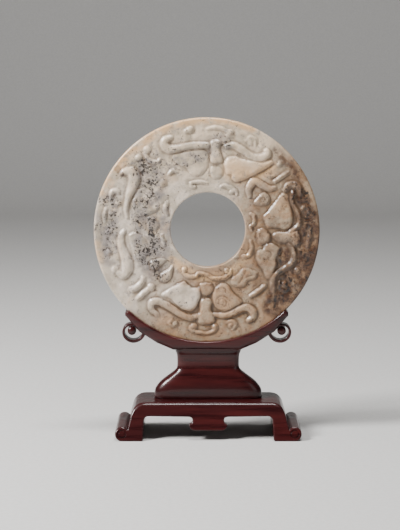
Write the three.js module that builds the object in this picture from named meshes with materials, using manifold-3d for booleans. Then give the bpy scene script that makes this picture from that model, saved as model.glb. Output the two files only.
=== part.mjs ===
// A carved jade bi disc standing upright in its two-piece hardwood stand.
// Units are millimetres, +Z is up, and the carved front of the disc faces -Y.
// The origin lies on the surface that the stand rests on, straight below the disc's middle.

import * as THREE from 'three';
import { mergeVertices } from 'three/addons/utils/BufferGeometryUtils.js';
import Module from 'manifold-3d';

const wasm = await Module();
wasm.setup();

// ---------------------------------------------------------------- driving dimensions

const FIT_GAP = 0.3; // clearance where one piece rests on or in another
const STAND_X = 1.1; // the neck and the base stand a little to one side of the disc's middle

const DISC = {
  radius: 85,
  holeRadius: 28.2,
  holeShift: 0.8, // the hole was drilled a little off the disc's middle
  ground: 8, // thickness between the two carved-back ground surfaces
  rimRound: 1.5,
  holeBevel: 0.9,
  z: 155, // height of its middle
  segments: 60,
  holeSegments: 44,
};

const RELIEF = {
  front: 1.5, // height of the tallest carving above the ground
  back: 0.9, // the back is carved lower and plainer
  root: 0.4, // how far a raised figure is sunk into the ground
};

const CRADLE = {
  depth: 19,
  lipHeight: 1.3, // how far the walls of the groove rise in front of the disc
  reach: 44, // degrees each side of straight down
  tipThickness: 5,
  tipBulge: 1.1, // degrees by which the rounded tip runs past its corners
  kneeAngle: 33.9,
  kneeRadius: 91.8,
  bellyAngle: 24,
  bellyRadius: 92.9,
  neckAngle: 15.7,
  neckRadius: 93.7,
  edgeRound: 1.6,
  arcSteps: 26,
};

const VOLUTE = {
  x: 56.6, // eye of the scroll, from the middle of the disc
  below: 75.8,
  startTurn: 25, // degrees, where the band leaves the arm
  endTurn: -285, // degrees, where it reaches the eye
  startRadius: 9.9,
  endRadius: 3.9,
  winding: 1.2, // above 1, the band draws in late
  bandHalf: 1.3,
  thinning: 0.35, // share of its width that the band has lost at the eye
  depth: 11,
  edgeRound: 0.6,
  eyeRadius: 3.3,
  eyeDepth: 13.5,
  eyeRound: 2,
  eyeFlat: 0.6, // share of the eye's radius that its nearly flat end takes up
  eyeBulge: 0.5,
};

const BASE = {
  top: 27.3,
  halfFlat: 47.5, // half of the flat length of the top
  footHalfDepth: 33.5,
  topHalfDepth: 22.5,
  rollX: 64.7,
  rollRadius: 5.1,
  rollStart: 145, // degrees round the roll where the leg runs into it
  legInner: 48.3,
  legTaper: 0.6, // how much the leg narrows towards the floor
  archHeight: 17.6,
  archCorner: 4,
  slab: 7.8,
  pocketHalfLength: 46,
  pocketHalfDepth: 22,
  pocketFloor: 1, // the pocket is cut from just above the floor, where only the feet stand
  edgeRound: 1,
  eyeRing: { inner: 2.2, outer: 3.6, sunk: 0.8 },
};

// Curves of the base's outline, each with its control point and its end.
const BASE_SHOULDER = [
  { control: [54.8, 27.1], end: [57.2, 20.4] },
  { control: [59.3, 13.6], end: [60.4, 8.2] },
];
const BASE_TAB = [
  { control: [11.6, 17], end: [11.8, 14.4] },
  { control: [12, 12.6], end: [13.6, 12] },
  { control: [15.2, 11.2], end: [13.4, 9.2] },
  { control: [12.2, 7.6], end: [9.6, 7.6] },
];
const TAB_ROOT = [14.8, 17.2]; // where the arch runs into the tab

// Half width and half depth of the neck and its bell foot, from the bell's seat upwards.
const NECK = [
  { z: 27.6, across: 40.6, deep: 9.3 },
  { z: 28.6, across: 41, deep: 9.6 },
  { z: 33.2, across: 40.5, deep: 9.6 },
  { z: 36.4, across: 38.9, deep: 9.4 },
  { z: 40.6, across: 35.2, deep: 8.7 },
  { z: 45.2, across: 29.2, deep: 7.7 },
  { z: 48.6, across: 25, deep: 6.9 },
  { z: 51.3, across: 23.6, deep: 6.3 },
  { z: 57.5, across: 23.5, deep: 6 },
  { z: 60.5, across: 23.8, deep: 6.6 },
  { z: 62.8, across: 24.6, deep: 7.8 },
  { z: 66, across: 25.8, deep: 9 },
];

// ---------------------------------------------------------------- solids and booleans

function solidOf(geometry) {
  const bare = geometry.clone();
  bare.deleteAttribute('normal');
  bare.deleteAttribute('uv');
  const merged = mergeVertices(bare, 1e-4);
  const index = merged.index.array;
  const kept = [];
  for (let i = 0; i < index.length; i += 3) {
    const [a, b, c] = [index[i], index[i + 1], index[i + 2]];
    if (a !== b && b !== c && c !== a) kept.push(a, b, c);
  }
  const build = (triangles) => new wasm.Manifold(new wasm.Mesh({
    numProp: 3,
    vertProperties: Float32Array.from(merged.attributes.position.array),
    triVerts: Uint32Array.from(triangles),
  }));
  const first = build(kept);
  return first.volume() > 0 ? first : build(kept.reverse());
}

function geometryOf(solid) {
  const mesh = solid.getMesh();
  const geometry = new THREE.BufferGeometry();
  geometry.setAttribute('position', new THREE.BufferAttribute(mesh.vertProperties, 3));
  geometry.setIndex(new THREE.BufferAttribute(mesh.triVerts, 1));
  return geometry;
}

function joined(solids) {
  return solids.reduce((sum, next) => sum.add(next));
}

// Skins a row of closed rings that all have the same number of points, and caps both ends.
function loft(rings) {
  const count = rings[0].length;
  const positions = rings.flat().flatMap((p) => [p.x, p.y, p.z]);
  const index = [];
  for (let r = 0; r + 1 < rings.length; r += 1) {
    for (let i = 0; i < count; i += 1) {
      const a = r * count + i;
      const b = r * count + ((i + 1) % count);
      index.push(a, b, b + count, a, b + count, a + count);
    }
  }
  const last = (rings.length - 1) * count;
  for (const [a, b, c] of capTriangles(rings[0])) index.push(a, c, b);
  for (const [a, b, c] of capTriangles(rings.at(-1))) index.push(last + a, last + b, last + c);
  const geometry = new THREE.BufferGeometry();
  geometry.setAttribute('position', new THREE.Float32BufferAttribute(positions, 3));
  geometry.setIndex(index);
  return geometry;
}

// Triangles over a flat ring, wound the way the ring runs.
function capTriangles(ring) {
  const normal = new THREE.Vector3();
  ring.forEach((p, i) => normal.add(new THREE.Vector3().crossVectors(p, ring[(i + 1) % ring.length])));
  const turn = new THREE.Quaternion().setFromUnitVectors(normal.normalize(), new THREE.Vector3(0, 0, 1));
  const flat = ring.map((p) => p.clone().applyQuaternion(turn)).map((p) => new THREE.Vector2(p.x, p.y));
  return THREE.ShapeUtils.triangulateShape(flat, []);
}

function sample(values, t) {
  const at = t * (values.length - 1);
  const i = Math.min(Math.floor(at), values.length - 2);
  return THREE.MathUtils.lerp(values[i], values[i + 1], at - i);
}

// ---------------------------------------------------------------- raised figures

// Figures are laid out face on: u runs to the right, v runs from the disc's middle outwards,
// straight down. Their heights are given as shares of the relief's full height.

const ROOT = -1; // the level of a figure's root, below the ground
const ROUNDED = [[-1, ROOT], [-1, 0], [-0.66, 0.72], [0, 1], [0.66, 0.72], [1, 0], [1, ROOT]];
const SLANTED = [[-1, ROOT], [-1, 0], [-0.5, 1], [0.5, 1], [1, 0], [1, ROOT]];

function facePoint(u, v, height, full) {
  const lift = height < 0 ? -RELIEF.root : height * full;
  return new THREE.Vector3(u, -DISC.ground / 2 - lift, -v);
}

// A band that follows a curve, with its own half widths and a rounded or slanted back.
function strand({ path, halves, height = 1, steps = 4, section = SLANTED }, full) {
  const curve = new THREE.CatmullRomCurve3(path.map(([u, v]) => new THREE.Vector3(u, 0, v)));
  const widest = Math.max(...halves);
  const rings = [];
  for (let i = 0; i <= steps; i += 1) {
    const at = curve.getPoint(i / steps);
    const along = curve.getTangent(i / steps);
    const half = sample(halves, i / steps);
    const rise = height * (0.6 + 0.4 * half / widest);
    rings.push(section.map(([side, h]) => {
      const u = at.x - along.z * side * half;
      const v = at.z + along.x * side * half;
      return facePoint(u, v, h * rise, full);
    }));
  }
  return solidOf(loft(rings));
}

// A low cushion inside a closed outline, drawn in towards its middle as it rises.
function cushion({ outline, middle, height = 1, points = 14 }, full) {
  const curve = new THREE.CatmullRomCurve3(outline.map(([u, v]) => new THREE.Vector3(u, 0, v)), true);
  const [mu, mv] = middle;
  const ring = (share, h) => curve.getPoints(points).slice(0, points).map((p) => (
    facePoint(mu + (p.x - mu) * share, mv + (p.z - mv) * share, h, full)));
  return solidOf(loft([ring(1, ROOT), ring(1, 0), ring(0.86, 0.72 * height), ring(0.5, height)]));
}

function bead({ at, radius, height = 0.9, sides = 6 }, full) {
  const ring = (share, h) => Array.from({ length: sides }, (_, i) => {
    const turn = i / sides * 2 * Math.PI;
    const out = radius * share;
    return facePoint(at[0] + out * Math.cos(turn), at[1] + out * Math.sin(turn), h, full);
  });
  return solidOf(loft([ring(1, ROOT), ring(1, 0), ring(0.55, height)]));
}

const MAKERS = { strand, cushion, bead };

function mirrored(figure) {
  const flip = (points) => points.map(([u, v]) => [-u, v]);
  const copy = { ...figure };
  if (figure.path) copy.path = flip(figure.path);
  if (figure.outline) copy.outline = flip(figure.outline).reverse();
  if (figure.middle) [copy.middle] = flip([figure.middle]);
  if (figure.at) [copy.at] = flip([figure.at]);
  return copy;
}

// One animal mask, its chin to the rim: the figures on its middle line, then those of its
// right half, which the left half mirrors.
const MASK_MIDDLE = [
  {
    kind: 'cushion', // forehead knob
    middle: [0, 44.5],
    outline: [[0, 39.4], [4.6, 39.9], [5.4, 42.2], [3.6, 45.4], [2.6, 49.5], [-2.6, 49.5],
      [-3.6, 45.4], [-5.4, 42.2], [-4.6, 39.9]],
    height: 0.75,
    points: 10,
  },
  {
    kind: 'cushion', // long nose, spreading at the nostrils
    middle: [0, 61.5],
    outline: [[0, 51.6], [3.4, 52.8], [4.4, 56.8], [4.4, 62], [6, 67.2], [4.6, 69.8], [0, 70.8],
      [-4.6, 69.8], [-6, 67.2], [-4.4, 62], [-4.4, 56.8], [-3.4, 52.8]],
    points: 11,
  },
  {
    kind: 'strand', // lower lip
    path: [[-10.6, 74.6], [-8, 77.4], [-3, 79.2], [3, 79.2], [8, 77.4], [10.6, 74.6]],
    halves: [0.8, 1.2, 1.3, 1.3, 1.2, 0.8],
    height: 0.6,
  },
];

const MASK_HALF = [
  {
    kind: 'strand', // whisker, ending in a club that curls towards the rim
    path: [[3.6, 63.8], [11.5, 66], [18.5, 65], [25, 61.6], [30.4, 60], [34.2, 62.6], [33, 66.6],
      [29.8, 67.4]],
    halves: [1.5, 2.3, 2.6, 3, 3.5, 3, 2, 1],
    steps: 8,
    section: ROUNDED,
  },
  {
    kind: 'cushion', // cheek and brow
    middle: [13.6, 52],
    outline: [[5.4, 46], [8.8, 43.8], [11.6, 41.2], [15, 42], [18, 46], [22.4, 50], [27, 53.4],
      [22.4, 57], [16.6, 60.2], [11, 61.6], [6.4, 59.4], [4.8, 53]],
    height: 0.85,
    points: 12,
  },
  { kind: 'bead', at: [10.4, 55.8], radius: 3.4, height: 1.12 },
  { kind: 'bead', at: [8.4, 73.4], radius: 2.2, height: 0.8 },
  { kind: 'bead', at: [19, 72.2], radius: 1.9, height: 0.8 },
  {
    kind: 'strand', // hook round the small bead beside the mouth
    path: [[21.2, 69.8], [22.6, 72.6], [20.8, 75.4], [17.6, 75.2]],
    halves: [0.6, 1, 1, 0.6],
    height: 0.6,
    steps: 2,
  },
  { kind: 'bead', at: [15.2, 30.8], radius: 2.2, height: 0.8 },
  {
    kind: 'strand', // crown scroll beside the hole
    path: [[18.4, 29.8], [18.8, 33], [15.6, 36], [10.6, 37], [6, 35.6], [2.8, 33.8], [0.4, 35]],
    halves: [0.7, 1.1, 1.3, 1.3, 1, 0.9, 0.6],
    height: 0.65,
    steps: 5,
  },
];

function hook(path, halves, height) {
  return { kind: 'strand', path, halves, height };
}

function leaf(path, halves, height) {
  return { kind: 'strand', path, halves, height, steps: 3 };
}

// Leaves, hooks and beads in the four corners between the masks. Each corner is laid out as
// seen from the mask before it, to that mask's right.
const CORNERS = [
  [ // between the lowest mask and the right one
    leaf([[31.2, 50.6], [37, 46], [42.6, 42]], [0.8, 1.5, 0.8], 0.7),
    hook([[26, 29.6], [32, 29.4], [37.4, 33], [33, 36]], [0.9, 1.6, 1.5, 0.7], 0.7),
    {
      kind: 'cushion',
      middle: [25, 38.4],
      outline: [[19.6, 36.4], [25, 33.4], [30.6, 37.6], [27.4, 43.6], [21.4, 42]],
      height: 0.55,
      points: 9,
    },
    { kind: 'bead', at: [58.4, 40.6], radius: 2.2, height: 0.8 },
  ],
  [ // between the right mask and the top one
    leaf([[36.4, 51.4], [40.4, 56], [43.6, 61]], [0.7, 1.2, 0.8], 0.7),
    hook([[25.4, 30.4], [31.6, 30.8], [36.4, 35], [34, 38.6]], [0.9, 1.8, 1.7, 0.8], 0.7),
    leaf([[21.8, 37.4], [25.4, 41.4], [27.6, 46]], [0.6, 2.6, 0.9], 0.7),
    leaf([[52, 35.8], [57, 40], [61, 43.6]], [0.6, 1.2, 0.7], 0.7),
  ],
  [ // between the top mask and the left one
    hook([[35.6, 51.4], [41, 49.2], [46, 53.4], [44.4, 61]], [0.9, 2, 2.2, 0.9], 0.75),
    leaf([[24, 42.4], [28.4, 43.6], [31.8, 41.2]], [0.7, 1.6, 0.8], 0.6),
    leaf([[30.4, 33.4], [35.6, 34.2], [38.6, 30.2]], [0.7, 1.5, 0.8], 0.6),
    { kind: 'bead', at: [51.6, 53.4], radius: 1.9, height: 0.7 },
  ],
  [ // between the left mask and the lowest one
    hook([[34.8, 48.6], [40.6, 50.4], [44.6, 53.6], [45, 58.4]], [1.4, 1.6, 1.8, 1.1], 0.8),
    hook([[27.6, 27.2], [33, 28.4], [37.6, 31], [35, 35]], [0.9, 2, 2.2, 1], 0.9),
    leaf([[22.6, 34.4], [26, 38.2], [28.6, 42.6]], [0.7, 2.7, 1], 0.8),
    leaf([[45.4, 47.8], [49.6, 50], [53.2, 52.2]], [0.9, 1.2, 0.8], 0.7),
  ],
];

// The back repeats only the large figures of each mask.
const BACK_MIDDLE = [MASK_MIDDLE[1]];
const BACK_HALF = [{ ...MASK_HALF[0], steps: 6, section: SLANTED }, { ...MASK_HALF[1], points: 10 }];

function carving(middle, half, corners, full) {
  const solids = [];
  for (let quarter = 0; quarter < 4; quarter += 1) {
    const figures = [...middle, ...half, ...half.map(mirrored), ...(corners[quarter] ?? [])];
    for (const figure of figures) {
      solids.push(MAKERS[figure.kind](figure, full).rotate([0, -90 * quarter, 0]));
    }
  }
  return joined(solids);
}

// ---------------------------------------------------------------- jade disc

// Radius and depth along the rounded corner between one face (side -1 or 1) and the rim.
function rimCorner(side) {
  const { radius, ground, rimRound: round } = DISC;
  return [0, 0.5, 1].map((share) => {
    const turn = share * Math.PI / 2;
    return [radius - round + round * Math.sin(turn), side * (ground / 2 - round + round * Math.cos(turn))];
  });
}

function turned(profile, segments) {
  return solidOf(new THREE.LatheGeometry(profile.map(([r, y]) => new THREE.Vector2(r, y)), segments));
}

function discBody() {
  const half = DISC.ground / 2;
  const blank = turned([[0, -half], ...rimCorner(-1), ...rimCorner(1).reverse(), [0, half]], DISC.segments);
  return blank.subtract(holeCutter());
}

function holeCutter() {
  const half = DISC.ground / 2;
  const { holeRadius, holeBevel: bevel, holeShift: shift } = DISC;
  const past = 1; // the bevel runs on this far past the face
  const mouth = [holeRadius + bevel + past, half + past];
  const profile = [[0, -mouth[1]], [mouth[0], -mouth[1]], [holeRadius, bevel - half],
    [holeRadius, half - bevel], mouth, [0, mouth[1]]];
  return turned(profile, DISC.holeSegments).translate([shift, 0, shift]);
}

function jadeDisc() {
  const front = carving(MASK_MIDDLE, MASK_HALF, CORNERS, RELIEF.front);
  const back = carving(BACK_MIDDLE, BACK_HALF, [], RELIEF.back).rotate([0, 0, 180]);
  return discBody().add(front).add(back);
}

// ---------------------------------------------------------------- cradle, neck and volutes

// A point on a circle about the disc's middle, at an angle from straight down.
function fromDiscMiddle(radius, degrees) {
  const turn = THREE.MathUtils.degToRad(degrees);
  return new THREE.Vector2(radius * Math.sin(turn), -radius * Math.cos(turn));
}

// Extrudes a face-on outline through the given depth, centred on y = 0, with rounded edges.
function faceOn(shape, depth, round, roundSteps = 2) {
  const geometry = new THREE.ExtrudeGeometry(shape, {
    depth: depth - 2 * round,
    bevelEnabled: round > 0,
    bevelThickness: round,
    bevelSize: round,
    bevelOffset: -round,
    bevelSegments: roundSteps,
  });
  return geometry.translate(0, 0, -(depth - 2 * round) / 2).rotateX(Math.PI / 2);
}

function armsSolid() {
  const inner = DISC.radius - CRADLE.lipHeight;
  const { reach, tipThickness: tip, tipBulge } = CRADLE;
  const points = [];
  for (let i = 0; i <= CRADLE.arcSteps; i += 1) {
    points.push(fromDiscMiddle(inner, THREE.MathUtils.lerp(-reach, reach, i / CRADLE.arcSteps)));
  }
  const under = [
    fromDiscMiddle(inner + tip / 2, reach + tipBulge),
    fromDiscMiddle(inner + tip, reach),
    fromDiscMiddle(CRADLE.kneeRadius, CRADLE.kneeAngle),
    fromDiscMiddle(CRADLE.bellyRadius, CRADLE.bellyAngle),
    fromDiscMiddle(CRADLE.neckRadius, CRADLE.neckAngle),
  ];
  points.push(...under);
  points.push(...under.map((p) => new THREE.Vector2(-p.x, p.y)).reverse());
  return solidOf(faceOn(new THREE.Shape(points), CRADLE.depth, CRADLE.edgeRound));
}

// The disc's edge grown by the clearance, with its rounded corners cut straight.
function grooveCutter() {
  const half = DISC.ground / 2 + FIT_GAP;
  const radius = DISC.radius + FIT_GAP;
  const corner = 1;
  const profile = [[0, -half], [radius - corner, -half], [radius, corner - half],
    [radius, half - corner], [radius - corner, half], [0, half]];
  return turned(profile, DISC.segments);
}

// The curled scroll under each arm: a band that winds in to a round eye.
function voluteSolid(side) {
  const steps = 12;
  const outer = [];
  const inner = [];
  for (let i = 0; i <= steps; i += 1) {
    const t = i / steps;
    const turn = THREE.MathUtils.degToRad(THREE.MathUtils.lerp(VOLUTE.startTurn, VOLUTE.endTurn, t));
    const radius = THREE.MathUtils.lerp(VOLUTE.startRadius, VOLUTE.endRadius, t ** VOLUTE.winding);
    const half = VOLUTE.bandHalf * (1 - VOLUTE.thinning * t);
    outer.push(new THREE.Vector2(-side * (radius + half) * Math.cos(turn), (radius + half) * Math.sin(turn)));
    inner.push(new THREE.Vector2(-side * (radius - half) * Math.cos(turn), (radius - half) * Math.sin(turn)));
  }
  const shape = new THREE.Shape([...outer, ...inner.reverse()]);
  const band = solidOf(faceOn(shape, VOLUTE.depth, VOLUTE.edgeRound, 1));
  return band.add(eyeSolid()).translate([side * VOLUTE.x, 0, -VOLUTE.below]);
}

function eyeSolid() {
  const { eyeRadius: radius, eyeRound, eyeFlat, eyeBulge } = VOLUTE;
  const half = VOLUTE.eyeDepth / 2;
  const end = [[0, half], [radius * eyeFlat, half - eyeBulge], [radius, half - eyeRound]];
  return turned([...end.map(([r, y]) => [r, -y]), ...end.reverse()], 12);
}

// The neck's level sections are rounded oblongs: superellipses of these two powers.
const NECK_POWERS = { across: 2 / 5.5, deep: 2 / 2.8 };

function neckSolid() {
  const around = 20;
  const rings = NECK.map(({ z, across, deep }) => Array.from({ length: around }, (_, i) => {
    const turn = (i + 0.5) / around * 2 * Math.PI;
    const [c, s] = [Math.cos(turn), Math.sin(turn)];
    const x = across * Math.sign(c) * Math.abs(c) ** NECK_POWERS.across;
    const y = deep * Math.sign(s) * Math.abs(s) ** NECK_POWERS.deep;
    return new THREE.Vector3(x, y, z);
  }));
  return solidOf(loft(rings));
}

function cradle() {
  const upper = joined([armsSolid(), voluteSolid(1), voluteSolid(-1)]);
  const neck = neckSolid().translate([STAND_X, 0, -DISC.z]);
  return upper.add(neck).subtract(grooveCutter());
}

// ---------------------------------------------------------------- scroll-footed base

// Right half of the base seen from the front, from the end of its flat top round to the
// foot of the tab under its apron.
function baseHalfOutline() {
  const { rollX, rollRadius, legInner: leg, legTaper: taper, archHeight: arch, archCorner: corner } = BASE;
  const path = new THREE.Path();
  const follow = (curves) => curves.forEach(({ control, end }) => path.quadraticCurveTo(...control, ...end));
  path.moveTo(BASE.halfFlat, BASE.top);
  follow(BASE_SHOULDER);
  path.absarc(rollX, rollRadius, rollRadius, THREE.MathUtils.degToRad(BASE.rollStart), -Math.PI / 2, true);
  path.lineTo(leg + 2, 0);
  path.quadraticCurveTo(leg + taper, 0, leg + taper, 1.3);
  path.lineTo(leg, arch - corner);
  path.quadraticCurveTo(leg, arch, leg - corner, arch);
  path.lineTo(...TAB_ROOT);
  follow(BASE_TAB);
  return path.getPoints(4);
}

function halfDepthAt(z) {
  return THREE.MathUtils.lerp(BASE.footHalfDepth, BASE.topHalfDepth, z / BASE.top);
}

// Cuts the ring round the eye of a scroll foot, square to the sloping end of its roll.
function eyeRing(side, end) {
  const { inner, outer, sunk } = BASE.eyeRing;
  const proud = 2; // the cutter stands this far out of the roll's end
  const profile = [[inner, -end * sunk], [inner, end * proud], [outer, end * proud],
    [outer, -end * sunk], [inner, -end * sunk]];
  const slope = Math.atan2(BASE.footHalfDepth - BASE.topHalfDepth, BASE.top);
  return turned(profile, 12)
    .rotate([THREE.MathUtils.radToDeg(end * slope), 0, 0])
    .translate([side * BASE.rollX, end * halfDepthAt(BASE.rollRadius), BASE.rollRadius]);
}

function scrollBase() {
  const right = baseHalfOutline();
  const left = right.map((p) => new THREE.Vector2(-p.x, p.y)).reverse();
  const nominal = BASE.footHalfDepth;
  const geometry = faceOn(new THREE.Shape([...right, ...left]), 2 * nominal, BASE.edgeRound, 1);
  const position = geometry.attributes.position;
  for (let i = 0; i < position.count; i += 1) {
    position.setY(i, position.getY(i) * halfDepthAt(position.getZ(i)) / nominal);
  }
  const height = BASE.top - BASE.slab - BASE.pocketFloor;
  const pocket = new THREE.BoxGeometry(2 * BASE.pocketHalfLength, 2 * BASE.pocketHalfDepth, height);
  pocket.translate(0, 0, BASE.pocketFloor + height / 2);
  let solid = solidOf(geometry).subtract(solidOf(pocket));
  for (const side of [-1, 1]) {
    for (const end of [-1, 1]) solid = solid.subtract(eyeRing(side, end));
  }
  return solid;
}

// ---------------------------------------------------------------- the assembled object

const jade = new THREE.MeshStandardMaterial({ color: 0xc9c0ae, roughness: 0.35, metalness: 0 });
const rosewood = new THREE.MeshStandardMaterial({ color: 0x3a1a15, roughness: 0.3, metalness: 0 });

function piece(name, solid, material) {
  const mesh = new THREE.Mesh(geometryOf(solid), material);
  mesh.name = name;
  return mesh;
}

const disc = piece('jade_disc', jadeDisc(), jade);
const holder = piece('cradle', cradle(), rosewood);
const base = piece('scroll_base', scrollBase(), rosewood.clone());
disc.position.z = DISC.z;
holder.position.z = DISC.z;
base.position.x = STAND_X;

const group = new THREE.Group();
group.add(disc, holder, base);

export default group;
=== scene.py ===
# A carved jade bi disc standing upright in its two-piece hardwood stand.
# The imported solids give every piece's place. Each piece here is a finer mesh of the same form,
# with a procedural material. Figures and profiles are in millimetres, and the frame is in metres.

import math

import bmesh
import bpy
import numpy as np
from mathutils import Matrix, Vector
from mathutils import noise as turbulence


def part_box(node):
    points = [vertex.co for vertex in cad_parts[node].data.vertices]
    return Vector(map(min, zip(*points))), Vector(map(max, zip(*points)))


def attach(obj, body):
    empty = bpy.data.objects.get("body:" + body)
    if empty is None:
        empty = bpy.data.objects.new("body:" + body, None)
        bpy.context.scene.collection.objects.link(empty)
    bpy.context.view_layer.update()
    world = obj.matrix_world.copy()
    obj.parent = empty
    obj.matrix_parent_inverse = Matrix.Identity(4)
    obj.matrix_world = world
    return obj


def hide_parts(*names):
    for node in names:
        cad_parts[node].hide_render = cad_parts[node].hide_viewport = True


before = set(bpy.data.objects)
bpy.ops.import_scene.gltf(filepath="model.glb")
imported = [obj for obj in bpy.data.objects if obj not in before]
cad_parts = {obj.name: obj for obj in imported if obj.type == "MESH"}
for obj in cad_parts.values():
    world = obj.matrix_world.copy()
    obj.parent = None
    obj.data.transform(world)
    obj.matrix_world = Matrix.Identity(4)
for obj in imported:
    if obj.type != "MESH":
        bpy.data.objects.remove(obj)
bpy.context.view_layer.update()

MM = 0.001

# ---- sizes

DISC_LOW, DISC_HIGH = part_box("jade_disc")
DISC_Z = (DISC_LOW.z + DISC_HIGH.z) / 2 / MM
DISC_RADIUS = (DISC_HIGH.x - DISC_LOW.x) / 2 / MM
GROUND = 8.0  # thickness between the two carved-back ground surfaces
# The hole, a little off centre, with the degrees round its bevel at which rings lie.
HOLE = {"radius": 28.2, "shift": 0.8, "bevel": 0.9, "turns": (22, 45, 68, 90)}
RIM_ROUND = 1.5
FRONT_RELIEF = 1.6
BACK_RELIEF = 0.9
# The ground is cut deeper near a figure: how much, from which height a place counts as part of
# one, and the rounds of softening that spread the cut.
MOAT = {"depth": 0.65, "figure": 0.02, "rounds": 6}
HOLLOW_ROUNDS = 14  # rounds of softening that tell which places lie low
# The hand-worked surface: waves per millimetre, their height, how each finer wave follows the
# last, and the part of a face's width, one in so many, over which it fades in.
WORKED = {"scale": 0.16, "depth": 0.36, "loss": 0.8, "finer": 2.1, "waves": 4, "fade": 12}
# The fullness of the figures: waves per millimetre, and how far it strays from 1.
LUMPS = {"scale": 0.11, "range": 0.30}
NOISE_SLICE = {"face": 9.0, "lumps": 3.0}  # keeps the patterns of the surface apart
FIT_GAP = 0.3

BASE_LOW, BASE_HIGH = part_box("scroll_base")
STAND_X = (BASE_LOW.x + BASE_HIGH.x) / 2 / MM

DISC_MESH = {"around": 620, "front": 97, "back": 40, "rim": 6}
CREASE = 38  # degrees between faces from which an edge of the stand stays crisp


# ---- curves and small mesh helpers

def smooth_path(points, steps, closed=False):
    """Places along a Catmull-Rom curve through the given points."""
    points = np.array(points, float)
    count = len(points)
    spans = count if closed else count - 1
    t = np.linspace(0, spans, spans * steps + 1)
    if closed:
        t = t[:-1]
    else:
        points = np.vstack([2 * points[0] - points[1], points, 2 * points[-1] - points[-2]])
    i = np.minimum(t.astype(int), spans - 1)
    f = (t - i)[:, None]
    first = -1 if closed else 0
    p0, p1, p2, p3 = (points[(i + first + k) % len(points)] for k in range(4))
    cubic = 3 * p1 - p0 - 3 * p2 + p3
    return 0.5 * (2 * p1 + (p2 - p0) * f + (2 * p0 - 5 * p1 + 4 * p2 - p3) * f ** 2 + cubic * f ** 3)


def quad_curve(start, control, end, steps):
    """Places along a curve from start to end that is drawn towards its control point."""
    t = np.linspace(0, 1, steps + 1)[1:, None]
    start, control, end = (np.array(p, float) for p in (start, control, end))
    return (1 - t) ** 2 * start + 2 * t * (1 - t) * control + t ** 2 * end


def arc(middle, radius, first, last, steps):
    """Places along an arc between two angles in degrees."""
    turn = np.radians(np.linspace(first, last, steps + 1))
    return np.column_stack([middle[0] + radius * np.cos(turn), middle[1] + radius * np.sin(turn)])


def along_lines(corners, steps):
    """Places along a run of straight lines, for a mesh with even faces."""
    places = []
    for start, end in zip(corners, corners[1:]):
        for share in np.linspace(0, 1, steps, endpoint=False):
            places.append((start[0] + share * (end[0] - start[0]), start[1] + share * (end[1] - start[1])))
    return places + [corners[-1]]


def mesh_object(name, verts, faces):
    mesh = bpy.data.meshes.new(name)
    mesh.from_pydata((np.asarray(verts) * MM).tolist(), [], faces)
    made = bpy.data.objects.new(name, mesh)
    bpy.context.collection.objects.link(made)
    return made


def outward(made):
    """Turns every face of a closed mesh outwards."""
    work = bmesh.new()
    work.from_mesh(made.data)
    bmesh.ops.recalc_face_normals(work, faces=work.faces)
    if work.calc_volume(signed=True) < 0:
        bmesh.ops.reverse_faces(work, faces=work.faces)
    work.to_mesh(made.data)
    work.free()
    return made


def skin_and_rim_light(count, around, closed):
    """Faces that join each ring to the next, and in a closed skin the last to the first."""
    r, i = (grid.ravel() for grid in np.mgrid[0:count if closed else count - 1, 0:around])
    beyond, beside = (r + 1) % count, (i + 1) % around
    corners = [r * around + i, beyond * around + i, beyond * around + beside, r * around + beside]
    return np.column_stack(corners).tolist()


def lofted(name, rings):
    """Skins rings of as many points each, and closes both ends with a flat face."""
    count = len(rings[0])
    faces = [(a, d, c, b) for a, b, c, d in skin_and_rim_light(len(rings), count, False)]
    last = (len(rings) - 1) * count
    faces += [tuple(range(count))[::-1], tuple(range(last, last + count))]
    made = outward(mesh_object(name, np.vstack(rings), faces))
    work = bmesh.new()
    work.from_mesh(made.data)
    ends = [face for face in work.faces if len(face.verts) > 4]
    bmesh.ops.triangulate(work, faces=ends, ngon_method="EAR_CLIP")
    work.to_mesh(made.data)
    work.free()
    return made


def turns_of(around):
    """Evenly spaced angles round a full turn."""
    return np.linspace(0, 2 * math.pi, around, endpoint=False)


def turned_rings(profile, turn, shift=0):
    """The x, y and z of a ring about the Y axis for each (radius, depth) of a profile."""
    return [(shift + radius * np.cos(turn), np.full(turn.shape, depth), shift + radius * np.sin(turn))
            for radius, depth in profile]


def both_halves(edge):
    """A profile from front to back, from the (radius, depth) places of its back half."""
    return [(radius, -depth) for radius, depth in edge] + edge[::-1]


def turned(name, profile, around):
    """Turns a (radius, depth) profile about the Y axis into a solid with two flat ends."""
    return lofted(name, [np.column_stack(ring) for ring in turned_rings(profile, turns_of(around))])


def turned_ring(name, profile, around):
    """Turns a closed loop of (radius, depth) about the Y axis into a ring."""
    rings = [np.column_stack(ring) for ring in turned_rings(profile, turns_of(around))]
    return outward(mesh_object(name, np.vstack(rings), skin_and_rim_light(len(rings), around, True)))


def block(name, low, high):
    corners = [(x, y, z) for x in (low[0], high[0]) for y in (low[1], high[1]) for z in (low[2], high[2])]
    faces = [(0, 1, 3, 2), (4, 6, 7, 5), (0, 4, 5, 1), (2, 3, 7, 6), (0, 2, 6, 4), (1, 5, 7, 3)]
    return outward(mesh_object(name, corners, faces))


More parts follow.
